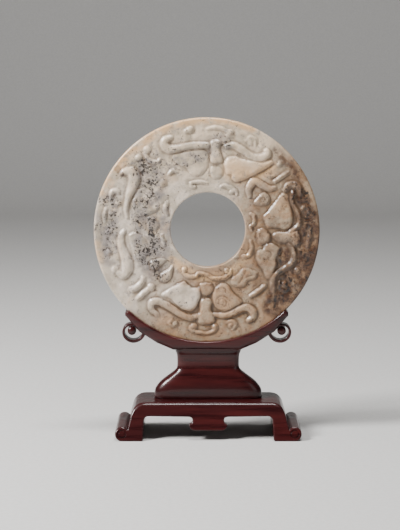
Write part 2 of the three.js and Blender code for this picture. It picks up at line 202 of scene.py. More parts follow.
def prism(name, outline, half_depth, rounding, steps=5):
    """Extrudes a face-on outline along Y. Its half depth is a number or depends on the height,
    and the rounding of its front and back edges may change along the outline."""
    outline = np.asarray(outline)
    rounding = np.broadcast_to(rounding, len(outline))
    ahead = np.roll(outline, -1, 0)
    if np.sum(outline[:, 0] * ahead[:, 1] - ahead[:, 0] * outline[:, 1]) < 0:
        outline, rounding = outline[::-1], rounding[::-1]
    along = np.roll(outline, -1, 0) - np.roll(outline, 1, 0)
    along /= np.linalg.norm(along, axis=1)[:, None]
    inward = np.column_stack([-along[:, 1], along[:, 0]])
    rings = []
    for side in (-1, 1):
        ends = []
        for turn in np.radians(np.linspace(90, 0, steps + 1)):
            flat = outline + inward * (rounding * (1 - math.cos(turn)))[:, None]
            half = half_depth(flat[:, 1]) if callable(half_depth) else half_depth
            depth = side * (half - rounding * (1 - math.sin(turn)))
            ends.append(np.column_stack([flat[:, 0], depth, flat[:, 1]]))
        rings += ends if side < 0 else ends[::-1]
    return lofted(name, rings)


def placed(made):
    """Moves an object's place and turn into its vertices."""
    made.data.transform(made.matrix_basis)
    made.matrix_basis.identity()
    return made


def combined(base, tool, operation):
    """Adds the tool to the base, or cuts it away, and removes the tool."""
    step = base.modifiers.new("combine", "BOOLEAN")
    step.object = tool
    step.operation = operation
    step.solver = "EXACT"
    result = bpy.data.meshes.new_from_object(base.evaluated_get(bpy.context.evaluated_depsgraph_get()))
    base.modifiers.clear()
    old = base.data
    base.data = result
    bpy.data.meshes.remove(old)
    bpy.data.objects.remove(tool)
    return base


def polished(made):
    """Smooth shading that keeps real edges crisp and flat faces flat."""
    made.data.shade_smooth()
    made.data.set_sharp_from_angle(angle=math.radians(CREASE))
    made.modifiers.new("even", "WEIGHTED_NORMAL").keep_sharp = True
    return made


# ---- carved figures

# Figures are laid out as seen from the front: u runs to the right and v up, both from the
# disc's middle. Each is a shape, its places, its size and its height as a share of the relief.
# Here are the steps between places, the powers of cross sections and a strand's least height.
PAD_STEPS = 5
STROKE_STEPS = 6
STAIN_STEPS = 4
BEAD_POWER = 2.2
STRAND_POWERS = (2.6, 0.6)
STRAND_LEAST = 0.6
CURVE_MARGIN = 2  # how far a curve may swing out beyond its places


def nearest(u, v, path, values):
    """Distance from each place to a path, and the path's own value at its nearest point."""
    best = np.full(u.shape, np.inf)
    own = np.zeros(u.shape)
    for k in range(len(path) - 1):
        (au, av), (bu, bv) = path[k], path[k + 1]
        du, dv = bu - au, bv - av
        share = np.clip(((u - au) * du + (v - av) * dv) / (du * du + dv * dv), 0, 1)
        gap = np.hypot(u - au - share * du, v - av - share * dv)
        closer = gap < best
        best[closer] = gap[closer]
        own[closer] = (values[k] + share * (values[k + 1] - values[k]))[closer]
    return best, own


def inside(u, v, outline):
    """True for places within a closed outline."""
    odd = np.zeros(u.shape, bool)
    for (au, av), (bu, bv) in zip(outline, np.roll(outline, -1, axis=0)):
        if av == bv:
            continue
        crosses = (av > v) != (bv > v)
        odd ^= crosses & (u < au + (v - av) / (bv - av) * (bu - au))
    return odd


def widths_along(path, halves):
    """The given half widths, spread evenly over the points of a path."""
    return np.interp(np.linspace(0, 1, len(path)), np.linspace(0, 1, len(halves)), halves)


def bead_shape(places, radius, height, u, v):
    share = np.hypot(u - places[0][0], v - places[0][1]) / radius
    return height * np.sqrt(np.clip(1 - share ** BEAD_POWER, 0, 1))


def pad_shape(places, edge, height, u, v):
    outline = smooth_path(places, PAD_STEPS, closed=True)
    closed = np.vstack([outline, outline[:1]])
    depth, _ = nearest(u, v, closed, np.zeros(len(closed)))
    slope = 1 - np.clip(depth / edge, 0, 1)
    return np.where(inside(u, v, outline), height * np.sqrt(1 - slope ** 2), 0)


def strand_shape(places, halves, height, u, v):
    path = smooth_path(places, STROKE_STEPS)
    halves = widths_along(path, halves)
    gap, half = nearest(u, v, path, halves)
    rise = height * (STRAND_LEAST + (1 - STRAND_LEAST) * half / halves.max())
    return rise * (1 - np.clip(gap / half, 0, 1) ** STRAND_POWERS[0]) ** STRAND_POWERS[1]


def groove_shape(places, half, depth, u, v):
    path = smooth_path(places, STROKE_STEPS)
    gap, _ = nearest(u, v, path, np.zeros(len(path)))
    return depth * (1 - np.clip(gap / half, 0, 1) ** 2)


def bead(at, radius, height):
    return bead_shape, [at], radius, height


def pad(outline, height=1.0, edge=4.2):
    """A flat-topped form, rounded off towards its outline."""
    return pad_shape, outline, edge, height


def strand(path, halves, height=1.0):
    """A band with a round back, with its half width from end to end."""
    return strand_shape, path, halves, height


def groove(path, half, depth):
    """A line cut into the figures."""
    return groove_shape, path, half, depth


def mirror(figure):
    """The same figure with left and right changed over."""
    shape, places, size, height = figure
    return shape, [(-u, v) for u, v in places], size, height


def spiral(at, radius, turns, start, steps=12, tighten=0.8):
    """Places along a spiral that winds in towards its eye."""
    share = np.linspace(0, 1, steps * turns + 1)
    turn = np.radians(start + 360 * turns * share)
    reach = radius * (1 - tighten * share)
    return np.column_stack([at[0] + reach * np.cos(turn), at[1] + reach * np.sin(turn)])


TOP_MASK = [
    strand([(0.3, 64.2), (-8.2, 64.2), (-16.8, 63.1), (-23.2, 61.5), (-28.6, 61.5), (-31.8, 64.7),
            (-30.7, 68.5), (-27, 70.1)], [2.2, 2.6, 2.6, 2.8, 3.2, 3.2, 2.6, 1.6]),
    strand([(14.8, 63.6), (20.1, 64.2), (25.5, 61.5), (30.8, 57.7), (36.2, 55), (41.5, 55), (45.3, 57.7),
            (44.7, 59.9)], [1.6, 2.4, 2.6, 2.6, 2.6, 3, 2.8, 2]),
    pad([(-25.4, 56.7), (-17.9, 58.8), (-10.4, 60.4), (-1.8, 60.4), (1, 56.1), (1, 49.7), (-1.8, 44.3),
         (-6.1, 41.6), (-11.4, 42.1), (-14.7, 47), (-18.9, 49.1), (-23.2, 51.8)], 0.6, 3),
    pad([(13.2, 50.7), (15.8, 55), (19, 56.1), (24.4, 55), (29.8, 53.4), (35.1, 52.9), (41.5, 51.8),
         (46.9, 52.9), (49.6, 51.3), (45.8, 48.1), (39.4, 44.3), (33, 41.1), (27.6, 38.4), (22.3, 36.8),
         (19, 38.9), (18.5, 42.1), (14.8, 43.2), (13.7, 46.4)], 1.0, 2.6),
    pad([(3, 66.9), (7.3, 68.5), (10.5, 66.9), (9.4, 61.5), (11, 56.1), (11.5, 51.8), (6.2, 50.7),
         (3, 52.9), (3.5, 59.3)], 0.8, 2.2),
    pad([(3, 47.5), (7, 48.5), (11, 46.5), (12, 42.5), (8.5, 39.5), (4, 40.5)], 0.55, 2),
    strand([(-8.8, 33), (-11.2, 33.5), (-11.7, 35.7), (-8.8, 36.8), (-4, 36.8), (0.3, 35.9)],
           [1.2, 1.3, 1.3, 1.3, 1.3, 0.8], 0.65),
    strand([(10.5, 33.5), (13.7, 34.1), (18, 32.5), (21.7, 29.8), (22.8, 27.1)],
           [0.8, 1.3, 1.5, 1.4, 0.8], 0.65),
    bead((18.6, 29.4), 1.8, 0.7),
    strand([(0.9, 76.5), (5.1, 77.6), (10.5, 77.1), (14.5, 75.4)], [0.9, 1.3, 1.3, 0.8], 0.6),
    bead((17.4, 73.9), 2.2, 0.8),
    strand([(15.2, 75.6), (15.4, 71.6), (19.4, 71)], [0.7, 1, 0.6], 0.6),
    bead((-12.5, 76), 2.6, 0.8),
    bead((-15.4, 74.8), 1.7, 0.6),
    bead((33, 66.9), 2.4, 0.75),
    strand([(29.6, 67.6), (32.4, 70.4), (36.4, 68.4), (36.2, 64.2)], [0.7, 1, 1.1, 0.7], 0.6),
    groove([(17.6, 52), (22, 53.6), (26.4, 51)], 0.5, 0.3),
]

RIGHT_MASK = [
    strand([(58.6, 30.9), (61.3, 34.1), (65.6, 34.6), (69.3, 32.5), (70.4, 28.4)],
           [1.6, 2.4, 2.6, 2.2, 1.2]),
    strand([(65, 29.2), (64, 22.8), (67.2, 16.3), (69.3, 12), (69.9, 6.7), (67.2, 2.4), (62.9, -0.3)],
           [1.2, 1.3, 1.3, 1.4, 1.4, 1.3, 1], 0.85),
    pad([(42.6, 11), (45.8, 14.2), (49, 18.5), (52.2, 22.8), (55.4, 27.1), (58.6, 28.7), (61.8, 24.9),
         (62.4, 19.6), (64, 14.2), (64.5, 8.8), (62.9, 3.4), (58.6, 1.3), (54.4, 2.4), (50.1, 2.4),
         (45.8, 2.4), (43.7, 6.7)], 0.95, 3),
    groove([(54.4, 5.8), (56.4, 3.8), (59.6, 4), (61.4, 6.6)], 0.6, 0.45),
    pad([(49.6, -4.1), (52.2, -0.9), (57.6, -0.9), (62.9, -0.9), (68.3, 0.2), (70.9, -4.1), (69.9, -9.5),
         (66.1, -11.6), (61.8, -8.4), (57.6, -9.5), (53.3, -7.8)], 1.0, 2.6),
    groove([(64, -1.6), (63.4, -5), (64.6, -8.6)], 0.5, 0.4),
    pad([(37.8, -4.1), (38.8, 0.8), (42.6, 1.8), (46.9, -1.9), (47.9, -6.2), (44.7, -9.5), (39.4, -10)],
         0.8, 2.4),
    pad([(37.2, -19.1), (38.8, -14.8), (42.6, -13.8), (44.7, -10), (49, -9.5), (54.4, -12.7),
         (55.4, -15.9), (52.2, -20.2), (53.3, -25.6), (51.1, -29.9), (47.9, -36.3), (44.7, -35.3),
         (42.6, -29.9), (38.3, -23.4)], 0.85, 3),
    groove([(43.4, -16.4), (46, -15), (48.6, -17), (48, -20)], 0.6, 0.35),
    strand([(61.8, -9.5), (65, -13.8), (66.1, -19.1), (64, -24.5), (59.7, -27.7), (55.4, -30.4),
            (51.7, -33.1), (50.1, -37.4), (50.1, -41.7), (50.2, -46)],
           [1.2, 1.6, 1.8, 1.8, 1.6, 1.4, 1.8, 2.4, 2.2, 0.9]),
    strand([(77.9, 2.4), (77.4, -4.1), (75.8, -11.6)], [1.2, 1.6, 1.2], 0.65),
    strand([(71.5, 16.3), (73.6, 18.5), (76.2, 17.4), (76.6, 14.4)], [1.1, 1.3, 1.1, 0.7], 0.65),
    bead((68.3, -29.9), 2, 0.8),
    bead((58.6, -40.6), 2.2, 0.85),
    strand([(55.2, -38.4), (55.6, -43.4), (59.6, -45), (62.4, -42)], [0.7, 1, 1, 0.6], 0.6),
    strand([(33, 13.1), (35.6, 11), (35.6, 5.6), (33, 3.4), (34, 0.2)], [0.8, 1.2, 1.2, 1.1, 0.7], 0.65),
    strand([(33, -7.3), (34, -12.7), (31.9, -18.1), (28.7, -20.2)], [0.8, 1.3, 1.3, 0.8], 0.65),
    bead((28.2, -19.6), 1.9, 0.75),
]

BOTTOM_MASK = [
    strand([(-5, -64.3), (-12.5, -65.9), (-18.9, -63.7), (-25.4, -59.4), (-31.8, -55.7), (-38.2, -53.5),
            (-41.9, -55.7), (-41.4, -60), (-38.2, -62.7)], [1.5, 2.4, 2.6, 2.7, 2.7, 2.8, 2.6, 2.2, 1.6]),
    strand([(5.1, -63.7), (12.6, -64.3), (19, -62.7), (25.5, -59.4), (30.8, -58.4), (34.6, -61),
            (35.1, -65.3), (31.9, -68)], [1.4, 2.2, 2.4, 2.6, 2.8, 2.8, 2.4, 1.8]),
    pad([(-33.9, -48.7), (-29.6, -44.9), (-24.3, -41.7), (-18.9, -39), (-16.8, -38.5), (-13.6, -41.2),
         (-10.4, -43.3), (-5, -43.3), (-4.5, -48.2), (-6.1, -53.5), (-8.2, -57.8), (-12.5, -61.2),
         (-18.9, -59.4), (-23.2, -55.7), (-27.5, -51.4)], 0.95, 3),
    pad([(4.6, -51.4), (5.1, -46), (8.4, -41.7), (12.6, -39.6), (16.4, -41.7), (20.1, -47.1),
         (26.5, -53.5), (22.3, -57.4), (15.8, -60.7), (10.5, -60.2), (6.2, -56.8)], 0.85, 2.6),
    groove(spiral((11.5, -54.2), 5.2, 2, 40), 0.55, 0.4),
    groove([(7.6, -45.4), (12.2, -43.6), (16.4, -45.6)], 0.5, 0.3),
    pad([(-5, -40.6), (-1.8, -39.6), (1, -39.6), (4, -40.6), (5.1, -44.9), (1.9, -48.2), (-1.3, -49.2),
         (-4, -46.5)], 0.75, 2),
    pad([(-4.5, -53.5), (-1.8, -51), (1.5, -51), (4, -54), (3, -59.3), (5.6, -64.5), (5.6, -69), (0, -71),
         (-5.5, -70.5), (-6.6, -66), (-5.2, -60.5)], 1.05, 2.6),
    strand([(-9.3, -71.8), (-12, -73.5), (-10, -76.2), (-3, -77.7), (1, -77.9), (5.1, -76.2),
            (7.3, -73.5)], [1.2, 1.4, 1.4, 1.2, 1.2, 1.3, 1], 0.6),
    bead((-9.6, -72.6), 2.1, 0.8),
    bead((6.2, -73), 2, 0.8),
    bead((-23.8, -70.8), 1.9, 0.8),
    strand([(-26, -73.2), (-28.2, -70), (-25.6, -67.4)], [0.7, 1.1, 0.7], 0.6),
    bead((18.5, -71.8), 2, 0.8),
    strand([(15.4, -69.4), (19.4, -68.4), (22, -71.4), (20, -74.8)], [0.6, 1, 1, 0.7], 0.6),
    strand([(-17.9, -31.5), (-13.6, -34.7), (-8.2, -34.2), (-6.1, -32), (1, -33.4), (5.1, -36),
            (12.6, -35.6), (16.9, -33.1), (18.5, -29.3)], [0.8, 1.3, 1.3, 1, 1, 1.2, 1.3, 1.3, 0.8], 0.65),
    bead((-16.8, -29.4), 1.9, 0.7),
    bead((15.2, -30.2), 2, 0.8),
    bead((-37.6, -64), 1.5, 0.6),
]

LEFT_MASK = [
    strand([(-64.1, 42.7), (-60.7, 44.8), (-56.4, 44.3), (-54.3, 40), (-55.3, 34.6), (-57.5, 29.2),
            (-59.6, 22.8), (-60.7, 16.3), (-59.6, 9.9)], [1, 2.6, 4, 4.4, 4, 3, 2, 1.5, 1]),
    strand([(-62.3, -0.3), (-64.4, -4.1), (-64.4, -10.5), (-62.3, -17), (-60.1, -23.4), (-60.1, -28.8),
            (-62.8, -33.1), (-66, -32)], [1.4, 2.2, 2.6, 3.2, 4.2, 4.4, 3.6, 2.2]),
    bead((-69.2, -29.3), 2.2, 0.8),
    pad([(-50.5, 31.4), (-44.6, 31.4), (-39.3, 26), (-36.1, 20.6), (-37.1, 15.3), (-44.6, 12), (-51, 11),
         (-55, 14.2), (-56.4, 20.6), (-53.4, 27.1)], 0.55, 3.2),
    pad([(-58.5, -4), (-52, -3), (-46, -8), (-44, -16), (-48, -22), (-54, -22), (-56, -14)], 0.5, 3.2),
    strand([(-57.6, -3.6), (-54.4, -2), (-49.6, -4.6)], [0.7, 0.9, 0.6], 0.7),
    pad([(-44, 10), (-38, 9), (-36, 4), (-39, 0), (-44, 2)], 0.5, 2),
    strand([(-29.8, 21.4), (-31.2, 16.3), (-29.6, 12)], [1.4, 1.8, 1], 0.65),
    strand([(-33.9, -3), (-33.4, -7), (-31.6, -10.6)], [1, 1.4, 0.9], 0.6),
    strand([(-72.4, 23.9), (-71.4, 28.7), (-68.2, 30.3), (-66, 28.7)], [1, 1.6, 1.7, 1], 0.7),
    strand([(-75.7, 16.3), (-76.7, 12), (-76.2, 7.7)], [1.1, 1.5, 1.1], 0.65),
    bead((-74, -1), 2, 0.6),
    bead((-73.5, -15.9), 2.1, 0.65),
    bead((-66.6, 20.4), 1.9, 0.6),
]

CORNERS = [
    strand([(32.1, 26), (31.4, 30.9), (33.5, 35.2), (36.2, 37.3), (41.5, 34.6), (46.9, 31.9),
            (51.1, 32.5)], [1.4, 2.4, 2.8, 2.6, 2.4, 2.2, 1.2], 0.75),
    pad([(35.6, 20.6), (37.2, 23.9), (41.5, 28.2), (44.7, 28.2), (47.4, 23.9), (45.8, 20.1), (40.4, 19)],
         0.7, 2),
    groove([(40, 23.2), (42.6, 25.4), (44.6, 22.8)], 0.5, 0.35),
    strand([(51.1, 37.3), (56, 40.6), (60.8, 43.8)], [1, 1.3, 1.1], 0.8),
    bead((54.4, 50.2), 1.7, 0.75),
    strand([(44.7, 42.7), (47.4, 41), (50.2, 41.4)], [0.7, 1, 0.7], 0.5),
    pad([(19, -36.3), (24.4, -32), (27.6, -28.3), (33, -28.8), (38.3, -32), (36.2, -36.3), (30.8, -37.9),
         (28.7, -41.7), (23.3, -42.8), (19, -40.6)], 0.6, 2.2),
    groove([(24.6, -39.6), (27, -35.6), (29, -31)], 0.55, 0.35),
    groove([(27.6, -36.8), (31, -34.6), (35.4, -33.4)], 0.55, 0.35),
    strand([(32.4, -49.8), (38, -46.2), (43.7, -41.7)], [1.1, 1.6, 1.3], 0.85),
    bead((46.9, -51.9), 2.6, 0.5),
    pad([(-43, -24), (-39.3, -21.8), (-33.9, -20.7), (-30.7, -22.4), (-33.9, -25.6), (-38.2, -28.8),
         (-41.4, -28.8)], 0.9, 2.2),
    pad([(-25.9, -26.1), (-29.6, -29.3), (-35, -33.1), (-35, -37.4), (-31.8, -39), (-27.5, -36.3),
         (-25.9, -31)], 0.9, 2.2),
    pad([(-58.5, -43.3), (-55.3, -41.7), (-51, -38.5), (-48.9, -34.2), (-46.2, -36.3), (-47.8, -40.6),
         (-52.1, -44.9), (-56.4, -46.5)], 0.85, 2.2),
    strand([(-52.1, -51.4), (-47.6, -47.4), (-43.4, -43.6)], [1.5, 1.9, 1.6], 0.8),
    bead((-42, -42.8), 2.8, 0.85),
    bead((-44.6, 60.9), 2.6, 0.75),
    strand([(-46.4, 58.3), (-42.9, 52.9), (-37.1, 51.8), (-35, 54)], [0.9, 1.4, 1.3, 0.8], 0.65),
    bead((-51, 55), 2.2, 0.7),
    strand([(-28.6, 42.2), (-25.4, 45.4), (-22.2, 44.3)], [1, 1.5, 0.9], 0.65),
    bead((-32.8, 36.2), 3, 0.6),
    strand([(-46.2, 50.7), (-44, 49), (-42.5, 46.6)], [0.7, 1, 0.7], 0.5),
]
FRONT = TOP_MASK + RIGHT_MASK + BOTTOM_MASK + LEFT_MASK + CORNERS

# The plainer back repeats the large figures of one mask in each quarter.
BACK_HALF = [
    strand([(3.6, -63.8), (11.5, -66), (18.5, -65), (25, -61.6), (30.4, -60), (34.2, -62.6),
            (33, -66.6), (29.8, -67.4)], [1.5, 2.3, 2.6, 3, 3.5, 3, 2, 1]),
    pad([(5.4, -46), (8.8, -43.8), (11.6, -41.2), (15, -42), (18, -46), (22.4, -50), (27, -53.4),
         (22.4, -57), (16.6, -60.2), (11, -61.6), (6.4, -59.4), (4.8, -53)], 0.85),
]
NOSE_SIDE = [(3.4, -52.8), (4.4, -56.8), (4.4, -62), (6.4, -66.6), (5.6, -69.6)]
BACK_NOSE = pad([(0, -51.6), *NOSE_SIDE, (0, -70.8), *[(-u, v) for u, v in NOSE_SIDE[::-1]]])
BACK = [BACK_NOSE] + BACK_HALF + [mirror(figure) for figure in BACK_HALF]

# Colour in the stone, as soft strokes: a path, its half widths and its strength. These are the
# brown stains with the black vein, the specks in their grey cloud, the pale places and the skin,
# which along the upper rim also stands for a painted rim highlight.
STAINS = [
    ([(55.4, -14), (54.4, -28.8), (57, -34.2), (52.6, -46), (51.1, -58)], [2.4, 4.8, 4.8, 3.2, 1.8], 1.0),
    ([(66, 30), (74, 12), (77, -8), (72, -28), (62, -46), (54, -60)], [9, 12, 15, 19, 18, 10], 0.65),
    ([(38, 30), (44, 4), (44, -18), (40, -38)], [12, 16, 17, 13], 0.26),
    ([(60, 50), (68, 40)], [7, 8], 0.45),
    ([(52, 60), (62, 48)], [5, 6], 0.4),
    ([(-67, 47), (-63.5, 42.5)], [3, 2.4], 0.6),
    ([(50, -6), (62, -10)], [7, 7], 0.4),
    ([(66, -22), (61, -40), (50, -57)], [15, 17, 10], 0.72),
]
SPECKLED = [
    ([(-43, 45), (-42, 30), (-44, 15), (-42, 0), (-43, -12), (-42, -24), (-37, -33)],
     [16, 16, 15, 16, 15, 13, 10], 1.0),
    ([(-74, 20), (-76, 0), (-74, -20)], [11, 12, 9], 0.85),
    ([(-46, 52), (-30, 50), (-12, 58), (12, 66)], [12, 13, 12, 10], 0.55),
    ([(-33, 16), (-31, -8), (-29, -22)], [7, 7, 6], 0.75),
    ([(66, 32), (76, 5), (72, -28), (60, -50)], [10, 12, 12, 10], 0.9),
]
PALE_PLACES = [
    ([(-30, -47), (-14, -50)], [9, 12], 1.0),
    ([(-60, -30), (-50, -50), (-60, -60)], [14, 14, 10], 0.6),
]
WARM_PLACES = [
    # The first stroke, along the rim from the left round the top, is orange skin and also a painted
    # highlight on the rim.
    ([(-78, 30), (-68, 48), (-50, 67), (-22, 81), (12, 83), (34, 77)], [6, 7, 6, 5, 4, 4], 1.0),
    ([(-26, -22), (-12, -32), (4, -35), (20, -30), (31, -18)], [4, 5, 5, 4, 4], 0.8),
    ([(20, 46), (32, 42), (46, 47)], [11, 11, 8], 0.9),
    ([(-84, -10), (-80, -26)], [5, 5], 0.6),
]


def carve(x, z, figures):
    """Height of a carved face over the places (x, z), as a share of its full relief."""
    field = np.zeros(x.shape)
    cuts = np.zeros(x.shape)
    for shape, places, size, height in figures:
        margin = np.max(size) + CURVE_MARGIN
        (low_u, low_v), (high_u, high_v) = np.min(places, 0) - margin, np.max(places, 0) + margin
        near = (x > low_u) & (x < high_u) & (z > low_v) & (z < high_v)
        target = cuts if shape is groove_shape else field
        target[near] = np.maximum(target[near], shape(places, size, height, x[near], z[near]))
    return field - cuts


def carve_back(x, z):
    """Height of the back, where the same figures stand in each quarter."""
    field = np.zeros(x.shape)
    for _ in range(4):
        field = np.maximum(field, carve(-x, z, BACK))
        x, z = z, -x
    return field


def painted(x, z, strokes):
    """How strongly the strokes colour each place, from 0 to 1."""
    total = np.zeros(x.shape)
    for path, halves, strength in strokes:
        path = smooth_path(path, STAIN_STEPS)
        gap, half = nearest(x, z, path, widths_along(path, halves))
        total = np.maximum(total, strength * np.clip(1 - (gap / half) ** 2, 0, 1))
    return total


def softened(field, rounds):
    """Evens a field out over its neighbours, round the disc and across it."""
    for _ in range(rounds):
        field = (2 * field + np.roll(field, 1, 1) + np.roll(field, -1, 1)) / 4
        across = np.pad(field, ((1, 1), (0, 0)), mode="edge")
        field = (2 * field + across[2:] + across[:-2]) / 4
    return field


# ---- jade disc

def face_rings(count, turn):
    """Places (x, z) on a face of the disc, ring by ring from the hole's edge to the rim's."""
    share = np.linspace(0, 1, count)[:, None]
    edge = HOLE["radius"] + HOLE["bevel"]
    inner_x = HOLE["shift"] + edge * np.cos(turn)
    inner_z = HOLE["shift"] + edge * np.sin(turn)
    reach = DISC_RADIUS - RIM_ROUND
    x = inner_x + share * (reach * np.cos(turn) - inner_x)
    z = inner_z + share * (reach * np.sin(turn) - inner_z)
    return x, z


def worked_surface(x, z, side):
    """The uneven, hand-worked level of a face, in millimetres."""
    scale, part = WORKED["scale"], side * NOISE_SLICE["face"]
    shape = (WORKED["loss"], WORKED["finer"], WORKED["waves"])
    waves = [turbulence.fractal((u * scale, part, v * scale), *shape)
             for u, v in zip(x.ravel(), z.ravel())]
    return WORKED["depth"] * np.array(waves).reshape(x.shape)


def fullness(x, z):
    """How full the figures are from place to place, as a factor round 1."""
    scale, part = LUMPS["scale"], NOISE_SLICE["lumps"]
    waves = [turbulence.noise((u * scale, part, v * scale)) for u, v in zip(x.ravel(), z.ravel())]
    return 1 + LUMPS["range"] * np.array(waves).reshape(x.shape)


def carved_face(side, count, turn):
    """One face of the disc: its places, and the height and the hollow at each."""
    x, z = face_rings(count, turn)
    relief = FRONT_RELIEF if side < 0 else BACK_RELIEF
    field = carve(x, z, FRONT) if side < 0 else carve_back(x, z)
    field = softened(field, 1) * fullness(x, z)
    figures = field > MOAT["figure"]
    moat = np.where(figures, 0, softened(figures.astype(float), MOAT["rounds"]))
    level = GROUND / 2 + relief * field - MOAT["depth"] * moat * (relief / FRONT_RELIEF)
    parts = WORKED["fade"]
    fade = np.minimum(np.linspace(0, parts, count), np.linspace(parts, 0, count)).clip(0, 1)[:, None]
    level += fade * (worked_surface(x, z, side) - WORKED["depth"] / 2)
    level = np.minimum(level, GROUND / 2 + relief)
    hollow = np.clip(softened(field, HOLLOW_ROUNDS) - field, 0, 1)
    return x, side * level, z, field, hollow


def rim_rings(turn):
    """Rings over the rim and its two rounded edges, from the front face to the back one."""
    edge = [(DISC_RADIUS - RIM_ROUND * (1 - math.sin(a)), GROUND / 2 - RIM_ROUND * (1 - math.cos(a)))
            for a in np.radians(np.linspace(0, 90, DISC_MESH["rim"] + 1))[1:]]
    return turned_rings(both_halves(edge), turn)


def hole_rings(turn):
    """Rings down the wall of the hole, from the back face to the front one."""
    radius, bevel = HOLE["radius"], HOLE["bevel"]
    edge = [(radius + bevel * (1 - math.sin(a)), GROUND / 2 - bevel * (1 - math.cos(a)))
            for a in np.radians(HOLE["turns"])]
    return turned_rings(both_halves(edge)[::-1], turn, HOLE["shift"])


def jade_disc():
    """The disc's mesh, with a layer of values for each thing that its material follows."""
    turn = turns_of(DISC_MESH["around"])
    front = carved_face(-1, DISC_MESH["front"], turn)
    back = carved_face(1, DISC_MESH["back"], turn)
    rings = list(zip(*front))
    plain = np.zeros(turn.shape)
    rings += [(*ring, plain, plain) for ring in rim_rings(turn)]
    rings += list(zip(*back))[::-1]
    rings += [(*ring, plain, plain) for ring in hole_rings(turn)]
    table = np.array(rings)
    verts = np.column_stack([table[:, k].ravel() for k in range(3)])
    verts[:, 2] += DISC_Z
    disc = mesh_object("jade_bi", verts, skin_and_rim_light(len(rings), len(turn), True))
    disc.data.shade_smooth()
    x, z = table[:, 0], table[:, 2]
    layers = {"height": table[:, 3], "hollow": table[:, 4], "stain": painted(x, z, STAINS),
              "speckle": painted(x, z, SPECKLED), "pale": painted(x, z, PALE_PLACES),
              "warm": painted(x, z, WARM_PLACES)}
    for name, values in layers.items():
        layer = disc.data.attributes.new(name, "FLOAT", "POINT")
        layer.data.foreach_set("value", values.ravel().astype(np.float32))
    return disc


# ---- stand

# Angles are degrees. The cradle's are measured at the disc's middle from straight below, and its
# knee, belly and neck are places on the underside, as an angle and a radius.
CRADLE = {"depth": 19, "lip": 1.3, "reach": 44, "tip": 5, "tip_turn": 0.9, "tip_shares": (0.3, 0.7),
          "knee": (33.9, 91.8), "belly": (24, 92.9), "neck": (15.7, 93.7), "round": 1.3,
          "under_round": 4.0, "blend": 4, "top_steps": 120, "under_steps": 8, "round_steps": 8}
VOLUTE = {"x": 56.6, "below": 75.8, "start": 9.9, "end": 3.9, "tighten": 1.2, "first": 25,
          "sweep": 310, "steps": 48, "half": 1.3, "thinning": 0.35, "depth": 11, "round": 0.65,
          "round_steps": 4}
VOLUTE_EYE = {"radius": 3.3, "depth": 13.5, "dome": 2, "turns": (85, 60, 40, 20, 0), "around": 36}
# The groove's mouth, measured from its lip and its wall, and its corner, from its bottom and wall.
GROOVE_MOUTH = [(-1, 1), (0, 0.5), (0.5, 0.12), (1, 0)]
GROOVE_CORNER = [(-1, 0), (-0.3, -0.3), (0, -1)]
GROOVE_MESH = {"hub": 0.01, "around": 360}
# The base's edges grow rounder from "round_from" above its arch, over a stretch that is
# "round_short" less than the distance from the arch to the top.
BASE = {"top": 27.3, "flat": 47.5, "foot_depth": 33.4, "top_depth": 22.5, "roll_x": 64.7, "roll": 5.1,
        "roll_turn": (145, -90), "leg": 48.3, "arch": 17.6, "arch_corner": 4, "slab": 7.8,
        "pocket": (46, 22), "pocket_low": 1, "round": 1.0, "tab_round": 0.8, "top_round": 2.2,
        "round_from": 1, "round_short": 4}
BASE_HEEL = {"out": 2.2, "bend": 0.6, "high": 1.6}
BASE_STEPS = {"shoulder": 14, "roll": 44, "heel": 5, "arch": 10, "tab": 7}
EYE_RING = {"inner": 2.2, "outer": 3.6, "sunk": 0.8, "clear": 2, "steps": 8, "around": 40}
# Each curve of the base's outline, as its control point and its end.
BASE_SHOULDER = [((54.8, 27.1), (57.2, 20.4)), ((59.3, 13.6), (60.4, 8.2))]
BASE_TAB = [((11.6, 17), (11.8, 14.4)), ((12, 12.6), (13.6, 12)), ((15.2, 11.2), (13.4, 9.2)),
            ((12.2, 7.6), (9.6, 7.6))]
TAB_ROOT = (14.8, 17.2)
# The neck and its bell foot from below: height, half width and half depth.
NECK = [
    (27.6, 40.6, 9.3), (28.6, 41, 9.6), (33.2, 40.5, 9.6), (36.4, 38.9, 9.4), (40.6, 35.2, 8.7),
    (45.2, 29.2, 7.7), (48.6, 25, 6.9), (51.3, 23.6, 6.3), (57.5, 23.5, 6), (60.5, 23.8, 6.6),
    (62.8, 24.6, 7.8), (66, 25.8, 9),
]
NECK_MESH = {"steps": 5, "around": 120}
# The powers of the neck's section, which is flat at front and back and has round ends.
NECK_POWERS = (2 / 5.5, 2 / 2.8)


def from_middle(degrees, radius):
    """A place at a distance from the disc's middle, at an angle from straight below it."""
    turn = math.radians(degrees)
    return (radius * math.sin(turn), DISC_Z - radius * math.cos(turn))


def cradle_outline():
    """The crescent seen from the front, and how many of its points are on top and at a tip."""
    inner = DISC_RADIUS - CRADLE["lip"]
    reach, tip = CRADLE["reach"], CRADLE["tip"]
    top = [from_middle(a, inner) for a in np.linspace(-reach, reach, CRADLE["top_steps"] + 1)]
    end = [from_middle(reach + CRADLE["tip_turn"], inner + tip * share) for share in CRADLE["tip_shares"]]
    under = [from_middle(reach, inner + tip)]
    under += [from_middle(*CRADLE[place]) for place in ("knee", "belly", "neck")]
    right = end + along_lines(under, CRADLE["under_steps"])
    return top + right + [(-x, z) for x, z in right[::-1]], len(top), len(end) + 1


def arms():
    """The crescent that the disc lies in, with a sharp lip and a round underside."""
    outline, top, tip = cradle_outline()
    rounding = np.full(len(outline), CRADLE["round"])
    rounding[top + tip:-tip] = CRADLE["under_round"]
    width = 2 * CRADLE["blend"] + 1
    blend = np.ones(width) / width
    blended = np.convolve(np.pad(rounding, CRADLE["blend"], mode="edge"), blend, mode="valid")
    rounding[top:] = blended[top:]
    return prism("cradle_fine", outline, CRADLE["depth"] / 2, rounding, CRADLE["round_steps"])


